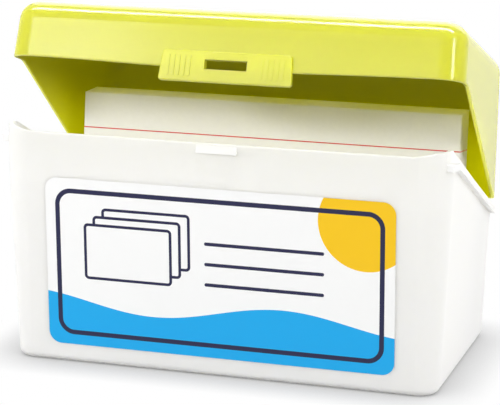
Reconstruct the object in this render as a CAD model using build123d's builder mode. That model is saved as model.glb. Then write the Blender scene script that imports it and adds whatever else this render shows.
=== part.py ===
from build123d import *
from math import cos, radians, sin, tan
import os

# Index card box. Lengths are in millimetres and angles in degrees.
# X runs along the box, Y towards the hinge and Z up, from the middle of the underside.

# Index cards, standing in a file that leans back
card_width = 127.0
card_height = 76.2
card_thickness = 0.2
card_gap = 0.01
card_count = 50
card_lean = 6.8
card_front = 2.75
card_shift = 0.6
card_stray = 0.3
card_stray_turn = 137.5

# Tub walls, sized round the cards
card_side_room = 3.0
card_show = 4.05
card_headroom = 10.3
file_depth = 71.1
wall = 2.1
floor_thickness = 2.0
wall_draft = 2.2
base_corner_radius = 6.5
base_fillet = 2.5

# Tub rim: the front leans in above a bend and ends in a horn at each corner.
# Along the sides and the back a collar stands in from the wall, above a sloping ledge.
front_lean = 1.1
front_bend_drop = 16.0
horn_rise = 1.15
horn_width = 4.0
horn_slope_width = 7.0
horn_fillet = 1.6
collar_step = 0.95
rear_collar_height = 1.7
rim_front_run = 4.55
rim_rear_run = 4.43
ledge_front_run = 4.76
ledge_rear_run = 6.27
ledge_bend_radius = 8.0
corner_ledge_drop = 2.5
rear_ledge_drop = 30.45
flange_width = 1.7
flange_thickness = 2.1
flange_setback = 5.0
rim_edge_fillet = 0.45

# Lid, given closed
lid_open_angle = 17.36
lid_wall = 1.3
lid_top_thickness = 1.5
lid_gap = 0.3
lid_draft = 3.0
lid_side_draft = 2.0
lid_front_overhang = 1.8
lid_side_overhang = 0.95
lid_rear_overhang = 1.0
lid_corner_radius = 7.5
lid_edge_fillet = 6.0
skirt_bow = 1.1
lid_rim_fillet = 0.4

# Latch tab on the lid, its window and the catch on the tub
tab_top_width = 41.0
tab_bottom_width = 42.6
tab_height = 9.63
tab_drop = 5.18
tab_thickness = 1.3
tab_proud = 1.0
tab_corner_radius = 1.0
tab_edge_fillet = 0.4
window_width = 13.56
window_height = 3.03
window_drop = 1.2
grip_rib_count = 5
grip_rib_width = 0.7
grip_rib_height = 6.4
grip_rib_proud = 0.2
grip_rib_pitch = 1.7
grip_rib_inset = 2.2
catch_clearance = 0.4
catch_proud = 0.9
catch_top_proud = 0.2

# Hinge: rods on the tub and hooks on the lid
hinge_rise = 1.8
hinge_setback = 2.65
hinge_spacing = 80.0
rod_radius = 1.0
rod_clearance = 0.3
hook_thickness = 0.95
hook_width = 8.0
hook_wrap_angle = 230.0
lug_radius = 1.9
lug_thickness = 1.6
lug_clearance = 0.4

# Label on the front wall
label_width = 112.0
label_height = 54.0
label_thickness = 0.12
label_corner_radius = 4.0
label_centre_height = 33.2

# Overrun of cuts past the faces that they open, and tolerance for finding a corner by its depth
overrun = 10.0
corner_tolerance = 0.01

# Heights that follow
front_rim_height = floor_thickness + card_height - card_show
horn_height = front_rim_height + horn_rise
bend_height = front_rim_height - front_bend_drop
corner_ledge_height = front_rim_height - corner_ledge_drop
rear_ledge_height = front_rim_height - rear_ledge_drop
rear_rim_height = rear_ledge_height + rear_collar_height
skirt_end_height = corner_ledge_height + lid_gap
lid_top = floor_thickness + card_height + card_headroom + lid_top_thickness
lid_foot = rear_ledge_height - flange_thickness
hinge_height = rear_ledge_height + hinge_rise
window_low = skirt_end_height - window_drop

# Lengths and depths that follow
base_width = card_width + 2 * (card_side_room + wall)
base_depth = file_depth + 2 * wall
reach = base_width + overrun


def half_width(height):
    """Half the tub's outer length at a height."""
    return base_width / 2 + height * tan(radians(wall_draft))


def half_depth(height):
    """Half the tub's outer depth at a height."""
    return base_depth / 2 + height * tan(radians(wall_draft))


def tub_plan(height, outset, depth_outset):
    """Length, depth and corner radius of the tub's plan at a height, moved out along and across."""
    radius = base_corner_radius + height * tan(radians(wall_draft)) + outset
    return 2 * (half_width(height) + outset), 2 * (half_depth(height) + depth_outset), radius


def front_wall(height):
    """Depth of the tub's outer front face at a height above the bend."""
    lean = front_lean * (height - bend_height) / (horn_height - bend_height)
    return lean - half_depth(height)


# Side view of the ledge and the rim: where the flange begins, and where each slope begins and ends
flange_front = flange_setback - half_depth(corner_ledge_height)
ledge_front = flange_front + ledge_front_run
ledge_rear = half_depth(rear_ledge_height) - ledge_rear_run
rim_front = flange_front + rim_front_run
rim_rear = half_depth(rear_ledge_height) - rim_rear_run


def ledge_at(depth):
    """Height of the sloping ledge at a depth."""
    fall = (corner_ledge_height - rear_ledge_height) / (ledge_rear - ledge_front)
    return corner_ledge_height - (depth - ledge_front) * fall


def ledge_line(rise):
    """Side view of the ledge from front to back, moved up: front corner, slope, rear."""
    return [
        (flange_front, corner_ledge_height + rise),
        (ledge_front, corner_ledge_height + rise),
        (ledge_rear, rear_ledge_height + rise),
        (reach, rear_ledge_height + rise),
    ]


def lid_front(height):
    """Depth of the closed lid's outer front face at a height."""
    edge = half_depth(skirt_end_height) + lid_front_overhang
    return (height - skirt_end_height) * tan(radians(lid_draft)) - edge


def lid_rear(height):
    """Depth of the closed lid's outer rear face at a height."""
    edge = half_depth(rear_ledge_height) + lid_rear_overhang
    return edge - (height - rear_ledge_height) * tan(radians(lid_draft))


def lid_side(depth, height):
    """Half the closed lid's outer length at a depth and a height."""
    edge = half_width(ledge_at(depth)) + lid_side_overhang
    return edge - (height - ledge_at(depth)) * tan(radians(lid_side_draft))


def lid_plan(height, inset):
    """Corners of the closed lid's plan at a height, moved in all round."""
    front = lid_front(height) + inset
    rear = lid_rear(height) - inset
    front_half = lid_side(front, height) - inset
    rear_half = lid_side(rear, height) - inset
    return [(-front_half, front), (front_half, front), (rear_half, rear), (-rear_half, rear)]


hinge_depth = lid_rear(hinge_height) + hinge_setback
hinge_axis = Axis((0, hinge_depth, hinge_height), (1, 0, 0))
hinge_places = [-hinge_spacing / 2, hinge_spacing / 2]
hook_bore_radius = rod_radius + rod_clearance
hook_radius = hook_bore_radius + hook_thickness
hook_root = lid_rear(hinge_height) - lid_wall / 2
mouth_turns = [90, 270 - hook_wrap_angle / 2, 450 - hook_wrap_angle]
mouth_corners = [(2 * hook_radius * cos(radians(a)), 2 * hook_radius * sin(radians(a))) for a in mouth_turns]
lug_offset = hook_width / 2 + lug_clearance + lug_thickness / 2

def corners_at(side_view, *depths):
    """Corners of a side view that lie at the given depths."""
    return [v for v in side_view.vertices() if min(abs(v.X - depth) for depth in depths) < corner_tolerance]


# Tub wall: to the horns at the front, and up to the ledge elsewhere
ledge = ledge_line(0)
with BuildPart() as wall_block:
    for level, lean in ((0, 0), (bend_height, 0), (horn_height, front_lean)):
        with BuildSketch(Plane.XY.offset(level)):
            RectangleRounded(*tub_plan(level, 0, -lean))
    loft(ruled=True)
    fillet(wall_block.faces().sort_by(Axis.Z)[0].edges(), base_fillet)
    with BuildSketch(Plane.YZ) as ledge_cut:
        Polygon(*ledge, (reach, lid_top), (flange_front, lid_top), align=None)
        fillet(corners_at(ledge_cut, ledge_front, ledge_rear), ledge_bend_radius)
    extrude(amount=reach, both=True, mode=Mode.SUBTRACT)

# Flange that carries the lid along the sides and the back
with BuildPart() as flange_block:
    for level in (0, horn_height):
        with BuildSketch(Plane.XY.offset(level)):
            RectangleRounded(*tub_plan(level, flange_width, flange_width))
    loft(ruled=True)
    with BuildSketch(Plane.YZ) as flange_side:
        Polygon(*ledge, *reversed(ledge_line(-flange_thickness)), align=None)
        fillet(corners_at(flange_side, ledge_front, ledge_rear), ledge_bend_radius)
    extrude(amount=reach, both=True, mode=Mode.INTERSECT)

# Tub
with BuildPart() as tub:
    # Collar behind the front corners, cut along the sloping rim
    for level in (floor_thickness, horn_height):
        with BuildSketch(Plane.XY.offset(level)):
            RectangleRounded(*tub_plan(level, -collar_step, -front_lean))
    loft(ruled=True)
    with BuildSketch(Plane.YZ) as collar_side:
        Polygon(
            (flange_front - wall, lid_foot),
            (flange_front - wall, horn_height),
            (rim_front, horn_height),
            (rim_rear, rear_rim_height),
            (reach, rear_rim_height),
            (reach, lid_foot),
            align=None,
        )
        fillet(corners_at(collar_side, rim_front, rim_rear), ledge_bend_radius)
    extrude(amount=reach, both=True, mode=Mode.INTERSECT)
    add(wall_block.part)
    add(flange_block.part)

    # Front rim, lower between the horns
    notch_top = half_width(horn_height) - horn_width
    notch_bottom = notch_top - horn_slope_width
    with BuildSketch(Plane.XZ) as rim_notch:
        Polygon(
            (-notch_bottom, front_rim_height),
            (notch_bottom, front_rim_height),
            (notch_top, horn_height),
            (notch_top, lid_top),
            (-notch_top, lid_top),
            (-notch_top, horn_height),
            align=None,
        )
        fillet(rim_notch.vertices().group_by(Axis.Y)[0], horn_fillet)
        fillet(rim_notch.vertices().group_by(Axis.Y)[-2], horn_fillet)
    extrude(amount=reach, mode=Mode.SUBTRACT)

    # Inside
    for level in (floor_thickness, lid_top):
        with BuildSketch(Plane.XY.offset(level)):
            RectangleRounded(*tub_plan(level, -wall, -wall))
    loft(ruled=True, mode=Mode.SUBTRACT)

    # Rounded edges of the front rim
    long_edges = tub.edges().filter_by(Axis.X)
    rim_edges = long_edges.filter_by_position(Axis.Z, bend_height, horn_height, (False, False))
    fillet(rim_edges.sort_by(SortBy.LENGTH)[-2:], rim_edge_fillet)

    # Latch catch on the front wall, inside the lid's window
    catch_low = window_low + catch_clearance
    catch_high = window_low + window_height - catch_clearance
    catch_root = (wall - front_lean) / 2
    with BuildSketch(Plane.YZ):
        Polygon(
            (front_wall(catch_low) + catch_root, catch_low),
            (front_wall(catch_low) - catch_proud, catch_low),
            (front_wall(catch_high) - catch_top_proud, catch_high),
            (front_wall(catch_high) + catch_root, catch_high),
            align=None,
        )
    extrude(amount=window_width / 2 - catch_clearance, both=True)

    # Hinge rods between pairs of lugs on the rear flange
    for place in hinge_places:
        with BuildSketch(Plane.YZ.offset(place)):
            with Locations((hinge_depth, hinge_height)):
                Circle(rod_radius)
        extrude(amount=lug_offset, both=True)
        for side in (-lug_offset, lug_offset):
            with BuildSketch(Plane.YZ.offset(place + side)):
                with Locations((hinge_depth, hinge_height)):
                    Circle(lug_radius)
                Polygon(
                    (half_depth(rear_ledge_height), rear_ledge_height),
                    (half_depth(rear_ledge_height) + flange_width, rear_ledge_height),
                    (hinge_depth, hinge_height),
                    (hinge_depth + lug_radius, hinge_height),
                    (half_depth(rear_ledge_height) + flange_width, rear_ledge_height - flange_thickness),
                    (half_depth(rear_ledge_height), rear_ledge_height - flange_thickness),
                    align=None,
                )
            extrude(amount=lug_thickness / 2, both=True)

# Hollow of the lid
with BuildPart() as lid_hollow:
    for level in (lid_foot, lid_top - lid_top_thickness):
        with BuildSketch(Plane.XY.offset(level)) as hollow_plan:
            Polygon(*lid_plan(level, lid_wall), align=None)
            fillet(hollow_plan.vertices(), lid_corner_radius - lid_wall)
    loft(ruled=True)
    fillet(lid_hollow.faces().sort_by(Axis.Z)[-1].edges(), lid_edge_fillet - lid_wall)

# Lid, built closed
with BuildPart() as lid:
    for level in (lid_foot, lid_top):
        with BuildSketch(Plane.XY.offset(level)) as outer_plan:
            Polygon(*lid_plan(level, 0), align=None)
            fillet(outer_plan.vertices(), lid_corner_radius)
    loft(ruled=True)
    fillet(lid.faces().sort_by(Axis.Z)[-1].edges(), lid_edge_fillet)
    add(lid_hollow.part, mode=Mode.SUBTRACT)

    # Lower edge: along the ledge at the sides and the back, bowed down at the front
    edge = ledge_line(lid_gap)
    with BuildSketch(Plane.YZ) as side_cut:
        Polygon(*edge, (reach, -overrun), (flange_front, -overrun), align=None)
        fillet(corners_at(side_cut, ledge_front, ledge_rear), ledge_bend_radius)
    extrude(amount=reach, both=True, mode=Mode.SUBTRACT)
    bow_half = half_width(skirt_end_height) - lid_corner_radius
    with BuildSketch(Plane.XZ.offset(-flange_front)):
        with BuildLine():
            Spline(
                (-bow_half, skirt_end_height),
                (0, skirt_end_height - skirt_bow),
                (bow_half, skirt_end_height),
                tangents=((1, 0), (1, 0)),
            )
            Polyline(
                (bow_half, skirt_end_height),
                (reach, skirt_end_height),
                (reach, -overrun),
                (-reach, -overrun),
                (-reach, skirt_end_height),
                (-bow_half, skirt_end_height),
            )
        make_face()
    extrude(amount=reach, mode=Mode.SUBTRACT)
    fillet(lid.edges().group_by(Axis.Z)[0], lid_rim_fillet)

    # Latch tab, with grip ribs at both ends and a window through tab and skirt
    tab_middle = skirt_end_height - tab_drop + tab_height / 2
    front_out = (0, -cos(radians(lid_draft)), sin(radians(lid_draft)))
    tab_face = Plane(origin=(0, lid_front(tab_middle), tab_middle), x_dir=(1, 0, 0), z_dir=front_out)
    with BuildSketch(tab_face.offset(tab_proud - tab_thickness)) as tab_plan:
        Polygon(
            (-tab_bottom_width / 2, -tab_height / 2),
            (tab_bottom_width / 2, -tab_height / 2),
            (tab_top_width / 2, tab_height / 2),
            (-tab_top_width / 2, tab_height / 2),
            align=None,
        )
        fillet(tab_plan.vertices(), tab_corner_radius)
    extrude(amount=tab_thickness)
    fillet(lid.faces().sort_by(Axis.Y)[0].edges(), tab_edge_fillet)
    rib_reach = tab_top_width / 2 - grip_rib_inset - (grip_rib_count - 1) * grip_rib_pitch / 2
    with BuildSketch(tab_face.offset(tab_proud)):
        with Locations((-rib_reach, 0), (rib_reach, 0)):
            with GridLocations(grip_rib_pitch, grip_rib_height, grip_rib_count, 1):
                Rectangle(grip_rib_width, grip_rib_height)
    extrude(amount=grip_rib_proud)
    window_offset = window_low + window_height / 2 - tab_middle
    with BuildSketch(tab_face.offset(tab_proud)):
        with Locations((0, window_offset)):
            Rectangle(window_width, window_height)
    extrude(amount=lid_corner_radius, both=True, mode=Mode.SUBTRACT)

    # Hinge hooks over the rods, open towards the lid's rear wall
    for place in hinge_places:
        with BuildSketch(Plane.YZ.offset(place)):
            with Locations((hinge_depth, hinge_height)):
                Circle(hook_radius)
                Circle(hook_bore_radius, mode=Mode.SUBTRACT)
                Polygon((0, 0), *mouth_corners, align=None, mode=Mode.SUBTRACT)
            Polygon(
                (hook_root, hinge_height + hook_bore_radius),
                (hinge_depth, hinge_height + hook_bore_radius),
                (hinge_depth, hinge_height + hook_radius),
                (hook_root, hinge_height + hook_radius),
                align=None,
            )
        extrude(amount=hook_width / 2, both=True)

# Label film on the front wall
label_out = (0, -cos(radians(wall_draft)), -sin(radians(wall_draft)))
label_place = (0, -half_depth(label_centre_height), label_centre_height)
with BuildPart() as front_label:
    with BuildSketch(Plane(origin=label_place, x_dir=(1, 0, 0), z_dir=label_out)):
        RectangleRounded(label_width, label_height, label_corner_radius)
    extrude(amount=label_thickness)

os.makedirs("parts", exist_ok=True)
tub.part.label = "tub"
export_step(tub.part, "parts/tub.step")
front_label.part.label = "front_label"
export_step(front_label.part, "parts/front_label.step")

# The lid is shown part open
open_lid = lid.part.rotate(hinge_axis, -lid_open_angle)
open_lid.label = "lid"
export_step(open_lid, "parts/lid.step")

# Index cards from the front of the file to the back, each a little out of line
card_up = (0, sin(radians(card_lean)), cos(radians(card_lean)))
card_pitch = (card_thickness + card_gap) / cos(radians(card_lean))
card_foot = floor_thickness + card_gap + card_thickness * sin(radians(card_lean))
for number in range(card_count):
    stray = card_shift + card_stray * sin(radians(number * card_stray_turn))
    foot = (stray, card_front + number * card_pitch, card_foot)
    with BuildPart(Plane(origin=foot, x_dir=(1, 0, 0), z_dir=card_up)) as card:
        Box(card_width, card_thickness, card_height, align=(Align.CENTER, Align.MIN, Align.MIN))
    card.part.label = f"index_card_{number + 1:02d}"
    export_step(card.part, f"parts/{card.part.label}.step")
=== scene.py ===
import math

import bpy
from mathutils import Matrix, Vector


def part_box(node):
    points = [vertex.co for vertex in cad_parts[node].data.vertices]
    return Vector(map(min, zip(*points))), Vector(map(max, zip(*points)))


# Looks of the index card box: materials, floor, light and camera. Units are metres and degrees.

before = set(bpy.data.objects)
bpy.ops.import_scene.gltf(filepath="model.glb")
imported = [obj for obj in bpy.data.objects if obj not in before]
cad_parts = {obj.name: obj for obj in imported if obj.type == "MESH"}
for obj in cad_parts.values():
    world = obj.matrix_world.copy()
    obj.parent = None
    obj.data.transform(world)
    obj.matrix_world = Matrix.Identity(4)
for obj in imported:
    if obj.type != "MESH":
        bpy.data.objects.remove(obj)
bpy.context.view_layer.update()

MM = 0.001
X_AXIS = (1.0, 0.0, 0.0)
Y_AXIS = (0.0, 1.0, 0.0)
Z_AXIS = (0.0, 0.0, 1.0)

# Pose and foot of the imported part, which the patterns and the floor follow
LID_OPEN_ANGLE = 17.36
CARD_LEAN = 6.8
FOOT_WIDTH = 137.2 * MM
FOOT_DEPTH = 75.3 * MM

# Camera of the photograph
IMAGE_WIDTH = 500
FOCAL_PIXELS = 2085.463
SENSOR_WIDTH = 36.0
CAMERA_AZIMUTH = 17.492
CAMERA_ELEVATION = 13.150
CAMERA_ROLL = 0.343
CAMERA_DISTANCE = 670.938 * MM
CAMERA_TARGET = Vector((-1.804, 0, 47.168)) * MM
CLIP_START = 10 * MM

# Studio
LIGHT_AIM = Vector((0, 0, 60)) * MM
LIGHT_DISTANCE = 1.1
FLOOR_HALF_WIDTH = 4.0
WORLD_SHOWN = 1.0
WORLD_LIGHT = 0.08
WORLD_COLOUR = (1, 1, 1, 1)

# Refraction of the tub's and the lid's plastic
PLASTIC_IOR = 1.49

# Places of the colour sockets in a Mix node, which lists its numbers and vectors before them
MIX_FIRST = 6
MIX_SECOND = 7
MIX_RESULT = 2


def srgb(red, green, blue):
    """Linear colour with full alpha, from the values that a picture shows, 0 to 255."""
    toe_end, toe_slope, offset, power = 0.04045, 12.92, 0.055, 2.4
    linear = []
    for value in (red, green, blue):
        share = value / 255
        linear.append(share / toe_slope if share <= toe_end else ((share + offset) / (1 + offset)) ** power)
    return (*linear, 1)


def bearing(azimuth, elevation):
    """Direction from the object, with azimuth 0 in front and 90 to the right."""
    turn, rise = math.radians(azimuth), math.radians(elevation)
    return Vector((math.sin(turn) * math.cos(rise), -math.cos(turn) * math.cos(rise), math.sin(rise)))


def turned(depth, height):
    """A direction of the closed lid, turned with the lid."""
    angle = math.radians(LID_OPEN_ANGLE)
    along_depth = depth * math.cos(angle) + height * math.sin(angle)
    along_height = height * math.cos(angle) - depth * math.sin(angle)
    return (0.0, along_depth, along_height)


class Tree:
    """Short calls for building a material's nodes. A value is a node's output or a plain value."""

    def __init__(self, name):
        self.material = bpy.data.materials.new(name)
        self.material.use_nodes = True
        self.tree = self.material.node_tree
        self.shader = self.tree.nodes["Principled BSDF"]
        self.output = self.tree.nodes["Material Output"]
        coordinates = self.node("TexCoord")
        self.place = coordinates.outputs["Object"]
        self.normal = coordinates.outputs["Normal"]

    def node(self, kind, **settings):
        """A new node with the given settings."""
        made = self.tree.nodes.new("ShaderNode" + kind)
        for name, value in settings.items():
            setattr(made, name, value)
        return made

    def feed(self, socket, value):
        """Links a node's output to a socket, or sets a plain value on it."""
        if isinstance(value, bpy.types.NodeSocket):
            self.tree.links.new(value, socket)
        else:
            socket.default_value = value

    def fill(self, made, *values):
        """Feeds the first sockets of a node in their order, and gives its first output."""
        for socket, value in zip(made.inputs, values):
            self.feed(socket, value)
        return made.outputs[0]

    def math(self, operation, *values):
        """Result of a Math node."""
        return self.fill(self.node("Math", operation=operation), *values)

    def below(self, value, limit):
        """1 where a value is less than a limit."""
        return self.math("LESS_THAN", value, limit)

    def above(self, value, limit):
        """1 where a value is more than a limit."""
        return self.math("GREATER_THAN", value, limit)

    def size(self, sides):
        """Length of a line whose two sides are given."""
        squares = [self.math("MULTIPLY", side, side) for side in sides]
        return self.math("SQRT", self.math("ADD", *squares))

    def along(self, vector, direction):
        """Length of a vector along a direction."""
        made = self.node("VectorMath", operation="DOT_PRODUCT")
        self.fill(made, vector, direction)
        return made.outputs["Value"]

    def ramp(self, value, low, high):
        """0 below low, 1 above high and smooth between."""
        return self.fill(self.node("MapRange", interpolation_type="SMOOTHSTEP"), value, low, high, 0.0, 1.0)

    def spread(self, value, low, high):
        """A value of 0 to 1, moved to low to high."""
        return self.fill(self.node("MapRange"), value, 0.0, 1.0, low, high)

    def mix(self, share, first, second):
        """The first colour where the share is 0, and the second where it is 1."""
        made = self.node("Mix", data_type="RGBA")
        self.feed(made.inputs["Factor"], share)
        self.feed(made.inputs[MIX_FIRST], first)
        self.feed(made.inputs[MIX_SECOND], second)
        return made.outputs[MIX_RESULT]

    def noise(self, scale, detail=2.0):
        """Uneven pattern of 0 to 1 that is fixed to the object."""
        made = self.node("TexNoise")
        self.feed(made.inputs["Vector"], self.place)
        made.inputs["Scale"].default_value = scale
        made.inputs["Detail"].default_value = detail
        return made.outputs["Fac"]

    def bump(self, height, distance, strength):
        """Normal of a fine relief."""
        made = self.node("Bump")
        made.inputs["Strength"].default_value = strength
        made.inputs["Distance"].default_value = distance
        self.feed(made.inputs["Height"], height)
        return made.outputs["Normal"]

    def inside(self, name):
        """1 on the faces of a node that look towards its middle."""
        low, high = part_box(name)
        offset = self.fill(self.node("VectorMath", operation="SUBTRACT"), self.place, (low + high) / 2)
        return self.below(self.along(self.normal, offset), 0.0)

    def scattered(self, most):
        """Matt bounces from the camera to this surface, up to a limit, and 0 for what is seen directly."""
        return self.math("MINIMUM", self.node("LightPath").outputs["Diffuse Depth"], most)

    def set(self, **values):
        """Sets or links the shader's sockets. A name's underscores stand for spaces."""
        for name, value in values.items():
            self.feed(self.shader.inputs[name.replace("_", " ")], value)
        return self.material

    def blend(self, share, other):
        """Gives a share of the surface to another shader."""
        both = self.fill(self.node("MixShader"), share, self.shader.outputs[0], other.outputs[0])
        self.feed(self.output.inputs["Surface"], both)
        return self.material


def tub_material():
    """Frosted white polypropylene with a fine moulded grain. The rim's inner side lets light in further."""
    dark_white = srgb(240, 239, 237)
    light_white = srgb(243, 242, 240)
    cloud_scale = 22.0
    grain_scale = 2600.0
    grain_detail = 3.0
    grain_height = 0.02 * MM
    grain_strength = 0.4
    roughness_range = (0.38, 0.52)
    rim_range = (70 * MM, 74 * MM)
    wall_weight, rim_weight = 0.8, 1.0
    wall_depth, rim_depth = 5 * MM, 30 * MM
    colour_depths = (1.0, 1.0, 0.95)

    tree = Tree("frosted_plastic")
    cloud = tree.noise(cloud_scale)
    grain = tree.noise(grain_scale, grain_detail)
    rim = tree.ramp(tree.along(tree.place, Z_AXIS), *rim_range)
    thin = tree.math("MULTIPLY", rim, tree.inside("tub"))
    return tree.set(
        Base_Color=tree.mix(cloud, dark_white, light_white),
        Roughness=tree.spread(grain, *roughness_range),
        Subsurface_Weight=tree.spread(thin, wall_weight, rim_weight),
        Subsurface_Scale=tree.spread(thin, wall_depth, rim_depth),
        Subsurface_Radius=colour_depths,
        IOR=PLASTIC_IOR,
        Normal=tree.bump(grain, grain_height, grain_strength),
    )


def lid_material():
    """Glossy lime plastic, deeper at bends, paler on flat faces as a painted sheen and on its lower edge as
    a painted glow, and darker inside as painted shade that deepens towards the top.
    """
    sheen_flat_dark = srgb(235, 237, 52)
    sheen_flat_light = srgb(237, 239, 58)
    bend_colour = srgb(238, 241, 44)
    painted_edge_glow = srgb(243, 245, 110)
    painted_shade_near_rim = srgb(212, 209, 10)
    painted_shade_deep = srgb(182, 180, 4)
    through_colour = srgb(242, 240, 26)
    cloud_scale = 30.0
    gloss_scale = 900.0
    gloss_range = (0.13, 0.18)
    dull_roughness = 0.6

    # Shares of a normal along the lid's axes at which a face counts as bent or flat, and as the lower edge.
    # Flat faces get a paler painted sheen
    bend_range = (0.90, 0.995)
    edge_range = (0.1, 0.7)

    # How far light goes into the outside, and into the inside at two heights along the lid's upward axis,
    # between which the inside's painted shade also deepens
    outside_depth = 12 * MM
    inside_heights = (58 * MM, 92 * MM)
    inside_depths = (8 * MM, 0.75 * MM)
    colour_depths = (1.0, 1.0, 0.2)

    # After a matt bounce the renderer drops scattering inside the plastic, so a share then passes through
    through_share = 0.6

    tree = Tree("lime_plastic")
    inside = tree.inside("lid")
    axes = (X_AXIS, turned(1.0, 0.0), turned(0.0, 1.0))
    sides = [tree.math("ABSOLUTE", tree.along(tree.normal, axis)) for axis in axes]
    flatness = tree.math("MAXIMUM", tree.math("MAXIMUM", sides[0], sides[1]), sides[2])
    painted_sheen = tree.ramp(flatness, *bend_range)
    # Painted sheen: flat faces are painted paler than the bends, and the cloud adds random tone to them
    outside = tree.mix(painted_sheen, bend_colour, tree.mix(tree.noise(cloud_scale), sheen_flat_dark, sheen_flat_light))
    # Painted glow: the lower edge is painted paler, where its rounded, thin plastic would catch the light
    edge = tree.ramp(tree.along(tree.normal, turned(0.0, -1.0)), *edge_range)
    outside = tree.mix(edge, outside, painted_edge_glow)
    # Painted shade: the inside is darker than the outside, and darker still towards the top of the hollow
    deep = tree.ramp(tree.along(tree.place, turned(0.0, 1.0)), *inside_heights)
    painted_hollow_shade = tree.mix(deep, painted_shade_near_rim, painted_shade_deep)
    gloss = tree.spread(tree.noise(gloss_scale), *gloss_range)
    dull = tree.math("MULTIPLY", tree.math("MAXIMUM", inside, edge), dull_roughness)
    tree.set(
        Base_Color=tree.mix(inside, outside, painted_hollow_shade),
        Roughness=tree.math("MAXIMUM", gloss, dull),
        Subsurface_Weight=1.0,
        Subsurface_Scale=tree.spread(inside, outside_depth, tree.spread(deep, *inside_depths)),
        Subsurface_Radius=colour_depths,
        IOR=PLASTIC_IOR,
    )
    through = tree.node("BsdfTranslucent")
    through.inputs["Color"].default_value = through_colour
    return tree.blend(tree.scattered(through_share), through)


def card_material():
    """Ruled index card: a red line under the head of the front, and blue lines below it."""
    dark_paper = srgb(244, 242, 244)
    light_paper = srgb(250, 248, 250)
    red_ink = srgb(214, 84, 84)
    blue_ink = srgb(150, 190, 222)
    red_drop = 11.6 * MM
    red_width = 0.38 * MM
    rule_pitch = 6.35 * MM
    rule_width = 0.2 * MM
    front_share = 0.9
    fibre_scale = 700.0
    fibre_detail = 4.0
    fibre_height = 0.02 * MM
    fibre_strength = 0.3
    roughness_range = (0.7, 0.9)

    tree = Tree("ruled_card")
    lean = math.radians(CARD_LEAN)
    up = (0.0, math.sin(lean), math.cos(lean))
    out = (0.0, -math.cos(lean), math.sin(lean))
    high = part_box("index_card_01")[1]
    top = high.y * up[1] + high.z * up[2]
    drop = tree.math("SUBTRACT", top, tree.along(tree.place, up))
    front = tree.above(tree.along(tree.normal, out), front_share)
    from_red = tree.math("SUBTRACT", drop, red_drop)
    red = tree.below(tree.math("ABSOLUTE", from_red), red_width / 2)
    to_rule = tree.math("PINGPONG", from_red, rule_pitch / 2)
    blue = tree.below(to_rule, rule_width / 2)
    blue = tree.math("MULTIPLY", blue, tree.above(from_red, rule_pitch / 2))
    fibre = tree.noise(fibre_scale, fibre_detail)
    colour = tree.mix(fibre, dark_paper, light_paper)
    colour = tree.mix(tree.math("MULTIPLY", blue, front), colour, blue_ink)
    colour = tree.mix(tree.math("MULTIPLY", red, front), colour, red_ink)
    return tree.set(
        Base_Color=colour,
        Roughness=tree.spread(fibre, *roughness_range),
        Specular_IOR_Level=0.3,
        Normal=tree.bump(fibre, fibre_height, fibre_strength),
    )


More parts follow.
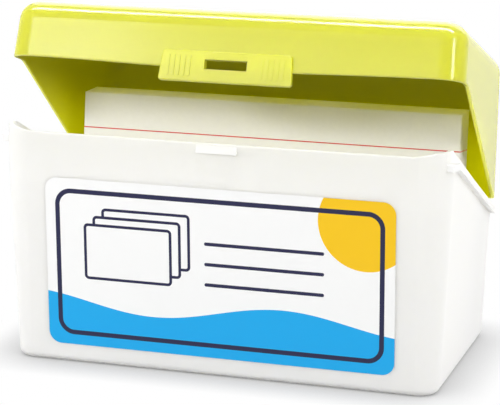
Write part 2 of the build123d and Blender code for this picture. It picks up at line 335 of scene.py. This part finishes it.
def label_material():
    """Printed film with a generic pattern: frame, wave, corner disc, stack of cards and note lines."""
    navy = srgb(10, 12, 58)
    blue = srgb(0, 168, 234)
    yellow = srgb(247, 198, 4)
    white = srgb(250, 250, 249)

    # Sea, whose wave is in radians per metre, and the disc in the corner
    wave_rate = 75.0
    wave_height = 3 * MM
    sea_level = -12.5 * MM
    disc_inset_across, disc_inset_up = 9 * MM, 7 * MM
    disc_radius = 15 * MM

    # Frame
    frame_inset = 4 * MM
    frame_radius = 4.5 * MM
    frame_line = 1.5 * MM

    # Stack of cards, from the front card to the rear one
    card_count = 3
    card_across, card_up = -29 * MM, 4 * MM
    step_across, step_up = 3 * MM, 2.6 * MM
    card_half_sides = (14 * MM, 8.6 * MM)
    card_radius = 1 * MM
    card_line = 0.9 * MM

    # Note lines, from the top
    note_count = 3
    note_across, note_up = 15 * MM, 9.5 * MM
    note_pitch = 6.5 * MM
    note_half_sides = (19 * MM, 0.55 * MM)
    note_radius = 0.5 * MM

    # Film
    film_scale = 500.0
    film_height = 0.01 * MM
    film_strength = 0.2
    roughness_range = (0.3, 0.42)

    tree = Tree("printed_label")
    low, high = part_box("front_label")
    middle = (low + high) / 2
    across = tree.math("SUBTRACT", tree.along(tree.place, X_AXIS), middle.x)
    up = tree.math("SUBTRACT", tree.along(tree.place, Z_AXIS), middle.z)
    half_width = (high.x - low.x) / 2
    half_height = (high.z - low.z) / 2

    def away(centre):
        """Offsets from a point of the label, across and up."""
        return tree.math("SUBTRACT", across, centre[0]), tree.math("SUBTRACT", up, centre[1])

    def rounded(centre, half_sides, radius):
        """Distance from the edge of a rounded rectangle, negative inside."""
        sides = []
        for offset, half_side in zip(away(centre), half_sides):
            sides.append(tree.math("SUBTRACT", tree.math("ABSOLUTE", offset), half_side - radius))
        corner = tree.size([tree.math("MAXIMUM", side, 0.0) for side in sides])
        inner = tree.math("MINIMUM", tree.math("MAXIMUM", *sides), 0.0)
        return tree.math("SUBTRACT", tree.math("ADD", corner, inner), radius)

    def band(distance, width):
        """1 on a line along an edge."""
        return tree.below(tree.math("ABSOLUTE", distance), width / 2)

    swing = tree.math("SINE", tree.math("MULTIPLY", across, wave_rate))
    wave = tree.math("MULTIPLY", swing, wave_height)
    sea = tree.below(tree.math("SUBTRACT", up, wave), sea_level)
    colour = tree.mix(sea, white, blue)
    disc = tree.size(away((half_width - disc_inset_across, half_height - disc_inset_up)))
    colour = tree.mix(tree.below(disc, disc_radius), colour, yellow)
    border = rounded((0.0, 0.0), (half_width - frame_inset, half_height - frame_inset), frame_radius)
    colour = tree.mix(band(border, frame_line), colour, navy)
    for step in reversed(range(card_count)):
        centre = (card_across + step_across * step, card_up + step_up * step)
        card = rounded(centre, card_half_sides, card_radius)
        colour = tree.mix(tree.below(card, 0.0), colour, white)
        colour = tree.mix(band(card, card_line), colour, navy)
    for line in range(note_count):
        note = rounded((note_across, note_up - note_pitch * line), note_half_sides, note_radius)
        colour = tree.mix(tree.below(note, 0.0), colour, navy)
    film = tree.noise(film_scale)
    return tree.set(
        Base_Color=colour,
        Roughness=tree.spread(film, *roughness_range),
        Normal=tree.bump(film, film_height, film_strength),
    )


def dress():
    """Gives every node of the frame its material."""
    cards = card_material()
    made = {"tub": tub_material(), "lid": lid_material(), "front_label": label_material()}
    for name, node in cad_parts.items():
        material = made.get(name, cards)
        for slot in node.material_slots:
            slot.material = material


def floor_material():
    """Floor that shows as white with a shadow at the foot, and is grey to light that has bounced."""
    dark_white = srgb(234, 234, 235)
    light_white = srgb(238, 238, 238)
    bounce_grey = srgb(180, 180, 180)
    tint_scale = 3.0

    # Share of plain white beside the foot and away from it, where the lamps' shadow has faded out
    shine_shares = (0.8, 1.0)
    fade_width = 20 * MM

    # Shadow close to the foot
    contact_samples = 12
    contact_reach = 16 * MM
    contact_range = (0.25, 1.0)

    tree = Tree("studio_floor")
    scattered = tree.scattered(1.0)
    tint = tree.mix(tree.noise(tint_scale), dark_white, light_white)
    tree.set(Base_Color=tree.mix(scattered, tint, bounce_grey), Roughness=0.9, Specular_IOR_Level=0.0)
    past = []
    for axis, foot in ((X_AXIS, FOOT_WIDTH), (Y_AXIS, FOOT_DEPTH)):
        beyond = tree.math("SUBTRACT", tree.math("ABSOLUTE", tree.along(tree.place, axis)), foot / 2)
        past.append(tree.math("MAXIMUM", beyond, 0.0))
    shine_share = tree.spread(tree.ramp(tree.size(past), 0.0, fade_width), *shine_shares)
    contact = tree.node("AmbientOcclusion", samples=contact_samples)
    contact.inputs["Distance"].default_value = contact_reach
    shine = tree.node("Emission")
    tree.feed(shine.inputs["Strength"], tree.spread(contact.outputs["AO"], *contact_range))
    seen = tree.math("SUBTRACT", 1.0, scattered)
    return tree.blend(tree.math("MULTIPLY", seen, shine_share), shine)


def make_floor():
    """Wide plain floor under the object."""
    half = FLOOR_HALF_WIDTH
    mesh = bpy.data.meshes.new("studio_floor")
    corners = [(-half, -half, 0), (half, -half, 0), (half, half, 0), (-half, half, 0)]
    mesh.from_pydata(corners, [], [(0, 1, 2, 3)])
    floor = bpy.data.objects.new("studio_floor", mesh)
    bpy.context.scene.collection.objects.link(floor)
    mesh.materials.append(floor_material())


def make_world():
    """Surroundings that are seen as white, and light the object more weakly than the lamps do."""
    world = bpy.data.worlds.new("studio")
    world.use_nodes = True
    nodes, links = world.node_tree.nodes, world.node_tree.links
    path = nodes.new("ShaderNodeLightPath")
    strength = nodes.new("ShaderNodeMapRange")
    links.new(path.outputs["Diffuse Depth"], strength.inputs["Value"])
    strength.inputs["To Min"].default_value = WORLD_SHOWN
    strength.inputs["To Max"].default_value = WORLD_LIGHT
    links.new(strength.outputs[0], nodes["Background"].inputs["Strength"])
    nodes["Background"].inputs["Color"].default_value = WORLD_COLOUR
    bpy.context.scene.world = world


def area_light(name, reach, azimuth, elevation, size, watts):
    """Soft rectangular lamp that faces the object, and either lights it or shows in its reflections."""
    light = bpy.data.lights.new(name, "AREA")
    light.shape = "RECTANGLE"
    light.size, light.size_y = size
    light.energy = watts
    lamp = bpy.data.objects.new(name, light)
    out = bearing(azimuth, elevation)
    lamp.location = LIGHT_AIM + out * LIGHT_DISTANCE
    lamp.rotation_euler = (-out).to_track_quat("-Z", "Y").to_euler()
    lamp.visible_diffuse = reach == "diffuse"
    lamp.visible_glossy = reach == "glossy"
    bpy.context.scene.collection.objects.link(lamp)


def make_lamps():
    """Softboxes that light the object, then strips and glows that it reflects."""
    area_light("front_softbox", "diffuse", azimuth=-38, elevation=23.6, size=(0.9, 0.2), watts=9.3)
    area_light("right_softbox", "diffuse", azimuth=64, elevation=18, size=(0.6, 0.3), watts=5.4)
    area_light("side_softbox", "diffuse", azimuth=100, elevation=28, size=(0.6, 0.4), watts=3.2)
    area_light("left_softbox", "diffuse", azimuth=-100, elevation=16, size=(0.6, 0.4), watts=1.9)
    area_light("rear_softbox", "diffuse", azimuth=165, elevation=22, size=(0.6, 0.4), watts=6.0)
    area_light("top_softbox", "diffuse", azimuth=0, elevation=86, size=(0.9, 0.5), watts=4.2)
    area_light("top_strip", "glossy", azimuth=0, elevation=88, size=(1.8, 0.28), watts=28.0)
    area_light("corner_strip", "glossy", azimuth=65, elevation=20, size=(0.17, 0.36), watts=2.6)
    area_light("left_glow", "glossy", azimuth=-32.5, elevation=25.5, size=(0.28, 0.23), watts=0.98)
    area_light("front_glow", "glossy", azimuth=-12.5, elevation=25.5, size=(0.54, 0.23), watts=1.0)
    area_light("rear_glow", "glossy", azimuth=180, elevation=40, size=(1.5, 0.9), watts=10.5)


def make_camera():
    """Camera that was fitted to the photograph."""
    back = bearing(CAMERA_AZIMUTH, CAMERA_ELEVATION)
    data = bpy.data.cameras.new("photo_camera")
    data.sensor_fit = "HORIZONTAL"
    data.sensor_width = SENSOR_WIDTH
    data.lens = SENSOR_WIDTH * FOCAL_PIXELS / IMAGE_WIDTH
    data.clip_start = CLIP_START
    camera = bpy.data.objects.new("photo_camera", data)
    turn = (-back).to_track_quat("-Z", "Y").to_matrix().to_4x4()
    roll = Matrix.Rotation(math.radians(CAMERA_ROLL), 4, "Z")
    camera.matrix_world = Matrix.Translation(CAMERA_TARGET + back * CAMERA_DISTANCE) @ turn @ roll
    bpy.context.scene.collection.objects.link(camera)
    bpy.context.scene.camera = camera


dress()
make_floor()
make_world()
make_lamps()
make_camera()
bpy.context.scene.view_settings.view_transform = "Standard"
